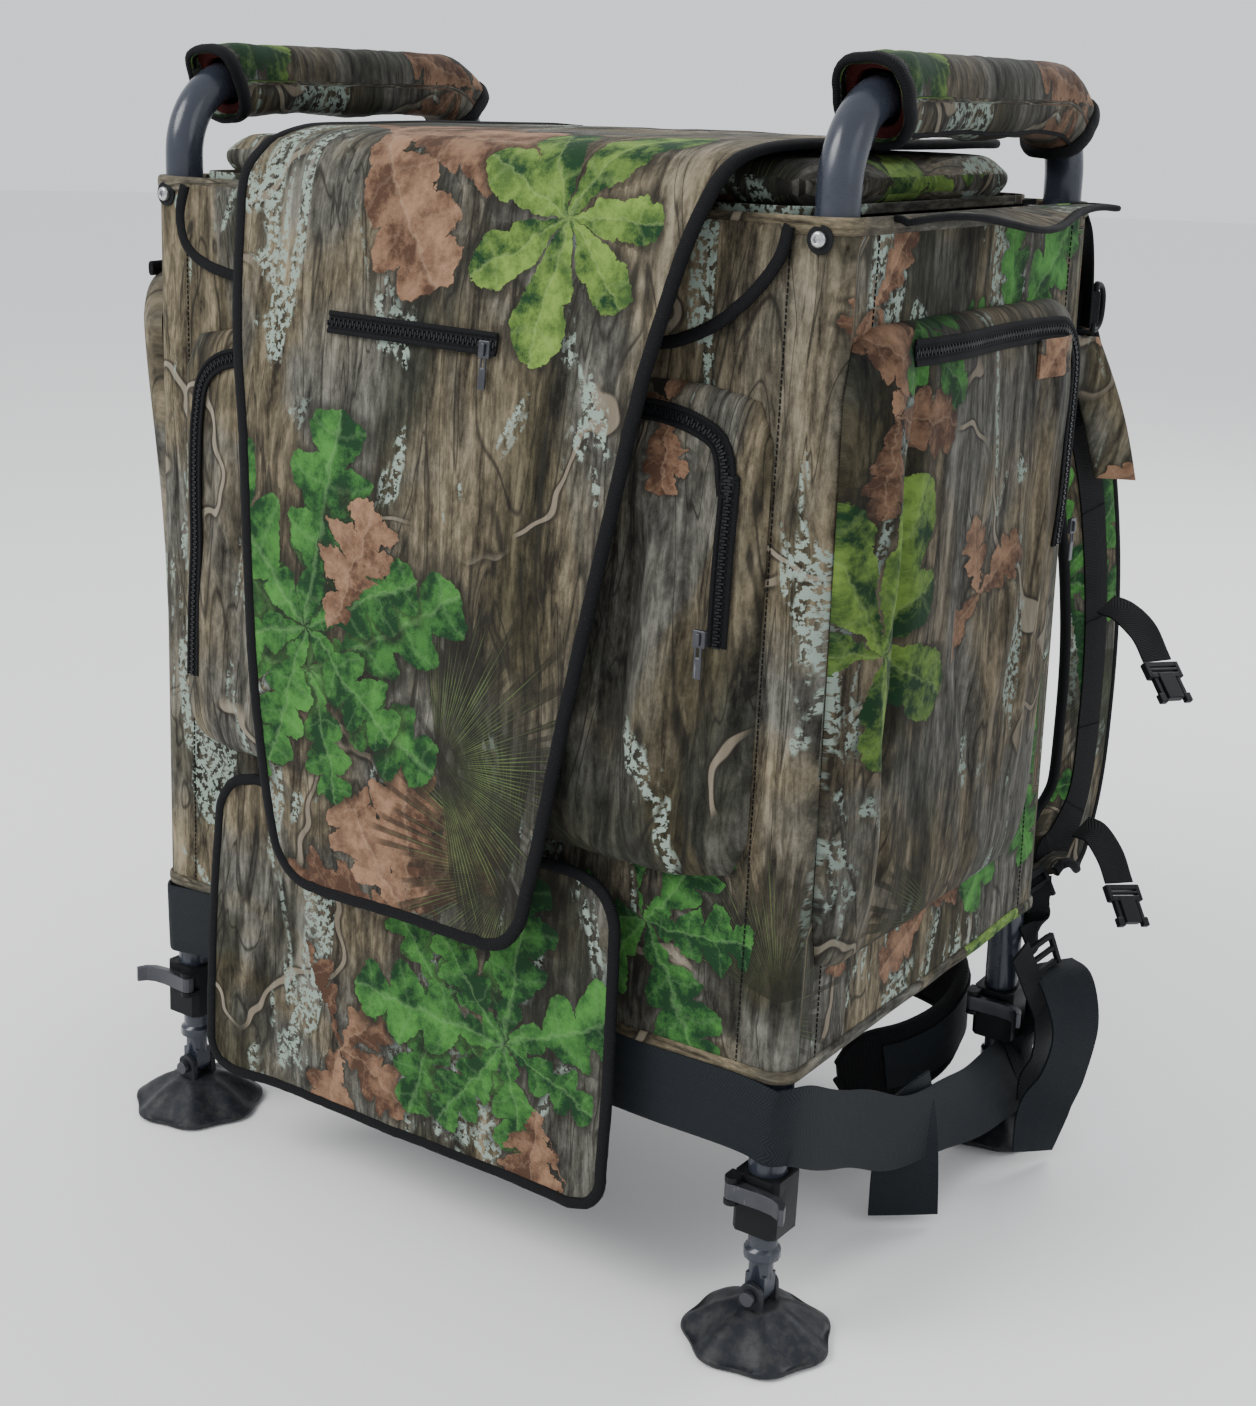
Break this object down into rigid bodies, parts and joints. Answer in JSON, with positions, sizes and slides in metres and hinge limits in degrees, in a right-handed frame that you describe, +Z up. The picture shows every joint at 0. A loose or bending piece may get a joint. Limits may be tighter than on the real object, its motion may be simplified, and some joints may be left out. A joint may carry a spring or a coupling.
{
  "type": "hunting pack seat",
  "caption": "Free-standing hunting seat with armrests: bent-tube frame, padded seat under a flap, camouflage pack body, lever-locked legs, mud feet and carrying straps.",
  "frame": {"origin": "middle of the bounding box's footprint, on the floor", "axes": "+Z up, -Y is the front with the draped flap, +Y the side with the carrying straps, +X the object's left-hand side as it faces the viewer's right"},
  "size_m": [0.716, 0.545, 0.7904],
  "materials": {
    "frame_paint": "satin dark blue-grey powder coat",
    "camo_cloth": "woodland leaf pattern cloth",
    "deck_canvas": "matt black canvas",
    "black_webbing": "woven black webbing",
    "black_plastic": "moulded, fine texture",
    "foot_rubber": "moulded rubber",
    "lever_metal": "worn dark metal",
    "bolt_steel": "plain steel head"
  },
  "bodies": {
    "seat_frame": {"side_frame_left": "frame_paint", "side_frame_right": "frame_paint", "top_rail_front": "frame_paint", "top_rail_rear": "frame_paint", "bottom_rail_front": "frame_paint", "bottom_rail_rear": "frame_paint", "corner_bolt_front_left": "bolt_steel", "corner_bolt_front_right": "bolt_steel", "corner_bolt_rear_left": "bolt_steel", "corner_bolt_rear_right": "bolt_steel", "lock_housing_front_left": "black_plastic", "lock_housing_front_right": "black_plastic", "lock_housing_rear_left": "black_plastic", "lock_housing_rear_right": "black_plastic", "armrest_sleeve_left": "camo_cloth", "armrest_sleeve_right": "camo_cloth", "bag_body": "camo_cloth", "seat_deck": "deck_canvas", "seat_cushion": "camo_cloth", "front_pocket": "camo_cloth", "side_pocket_left": "camo_cloth", "side_pocket_right": "camo_cloth", "yoke_flap": "camo_cloth", "shoulder_strap_left": "camo_cloth", "shoulder_strap_right": "camo_cloth", "sternum_strap_left": "black_webbing", "sternum_strap_right": "black_webbing", "sternum_buckle_left": "black_plastic", "sternum_buckle_right": "black_plastic", "lower_strap_left": "black_webbing", "lower_strap_right": "black_webbing", "lower_buckle_left": "black_plastic", "lower_buckle_right": "black_plastic", "hip_belt": "black_webbing", "hip_pad": "black_webbing", "belt_tail": "black_webbing", "belt_loop": "black_webbing"},
    "lever_front_left": {"lock_lever_front_left": "lever_metal"},
    "leg_front_left": {"inner_leg_front_left": "frame_paint", "foot_pin_front_left": "bolt_steel"},
    "foot_front_left": {"foot_front_left": "foot_rubber"},
    "lever_front_right": {"lock_lever_front_right": "lever_metal"},
    "leg_front_right": {"inner_leg_front_right": "frame_paint", "foot_pin_front_right": "bolt_steel"},
    "foot_front_right": {"foot_front_right": "foot_rubber"},
    "lever_rear_left": {"lock_lever_rear_left": "lever_metal"},
    "leg_rear_left": {"inner_leg_rear_left": "frame_paint", "foot_pin_rear_left": "bolt_steel"},
    "foot_rear_left": {"foot_rear_left": "foot_rubber"},
    "lever_rear_right": {"lock_lever_rear_right": "lever_metal"},
    "leg_rear_right": {"inner_leg_rear_right": "frame_paint", "foot_pin_rear_right": "bolt_steel"},
    "foot_rear_right": {"foot_rear_right": "foot_rubber"},
    "flap": {"main_flap": "camo_cloth"},
    "flap_slider": {"flap_zip_slider": "lever_metal"},
    "apron": {"apron": "camo_cloth"},
    "pocket_slider": {"pocket_zip_slider": "lever_metal"},
    "side_slider": {"side_zip_slider": "lever_metal"},
    "side_lid": {"side_lid_right": "camo_cloth"},
    "ring": {"carry_ring": "black_plastic"}
  },
  "joints": [
    {"name": "leg_slide_front_left", "type": "slide", "parent": "seat_frame", "child": "leg_front_left", "axis": [0, -0.0326, -0.9995], "range_m": [0, 0.2]},
    {"name": "lever_pivot_front_left", "type": "hinge", "parent": "seat_frame", "child": "lever_front_left", "pos_m": [-0.243, -0.23268, 0.11063], "axis": [0, 0.0326, 0.9995], "range_deg": [0, 95]},
    {"name": "foot_tilt_front_left", "type": "hinge", "parent": "leg_front_left", "child": "foot_front_left", "pos_m": [-0.256, -0.21397, 0.034], "axis": [0, 0.9995, -0.0326], "range_deg": [-15, 15]},
    {"name": "leg_slide_front_right", "type": "slide", "parent": "seat_frame", "child": "leg_front_right", "axis": [0, -0.0326, -0.9995], "range_m": [0, 0.2]},
    {"name": "lever_pivot_front_right", "type": "hinge", "parent": "seat_frame", "child": "lever_front_right", "pos_m": [0.243, -0.23268, 0.11063], "axis": [0, -0.0326, -0.9995], "range_deg": [0, 95]},
    {"name": "foot_tilt_front_right", "type": "hinge", "parent": "leg_front_right", "child": "foot_front_right", "pos_m": [0.256, -0.21397, 0.034], "axis": [0, 0.9995, -0.0326], "range_deg": [-15, 15]},
    {"name": "leg_slide_rear_left", "type": "slide", "parent": "seat_frame", "child": "leg_rear_left", "axis": [0, 0.0326, -0.9995], "range_m": [0, 0.2]},
    {"name": "lever_pivot_rear_left", "type": "hinge", "parent": "seat_frame", "child": "lever_rear_left", "pos_m": [-0.243, 0.1158, 0.10925], "axis": [0, -0.0326, 0.9995], "range_deg": [0, 95]},
    {"name": "foot_tilt_rear_left", "type": "hinge", "parent": "leg_rear_left", "child": "foot_rear_left", "pos_m": [-0.256, 0.13947, 0.034], "axis": [0, 0.9995, 0.0326], "range_deg": [-15, 15]},
    {"name": "leg_slide_rear_right", "type": "slide", "parent": "seat_frame", "child": "leg_rear_right", "axis": [0, 0.0326, -0.9995], "range_m": [0, 0.2]},
    {"name": "lever_pivot_rear_right", "type": "hinge", "parent": "seat_frame", "child": "lever_rear_right", "pos_m": [0.243, 0.1158, 0.10925], "axis": [0, 0.0326, -0.9995], "range_deg": [0, 95]},
    {"name": "foot_tilt_rear_right", "type": "hinge", "parent": "leg_rear_right", "child": "foot_rear_right", "pos_m": [0.256, 0.13947, 0.034], "axis": [0, 0.9995, 0.0326], "range_deg": [-15, 15]},
    {"name": "flap_lift", "type": "hinge", "parent": "seat_frame", "child": "flap", "pos_m": [0, 0.11275, 0.7365], "axis": [-1, 0, 0], "range_deg": [0, 100]},
    {"name": "flap_zip", "type": "slide", "parent": "flap", "child": "flap_slider", "axis": [-1, 0, 0], "range_m": [0, 0.112]},
    {"name": "apron_lift", "type": "hinge", "parent": "seat_frame", "child": "apron", "pos_m": [0, -0.24275, 0.3], "axis": [-1, 0, 0], "range_deg": [0, 18]},
    {"name": "pocket_zip", "type": "slide", "parent": "seat_frame", "child": "pocket_slider", "axis": [0, 0.0436, 0.999], "range_m": [0, 0.09]},
    {"name": "side_zip", "type": "slide", "parent": "seat_frame", "child": "side_slider", "axis": [0, 0, 1], "range_m": [0, 0.11]},
    {"name": "side_lid_drop", "type": "hinge", "parent": "seat_frame", "child": "side_lid", "pos_m": [0.2742, -0.03725, 0.69875], "axis": [0, 1, 0], "range_deg": [0, 75]},
    {"name": "ring_swing", "type": "hinge", "parent": "seat_frame", "child": "ring", "pos_m": [0.27, 0.15625, 0.63], "axis": [0, 0, 1], "range_deg": [-50, 50]}
  ]
}
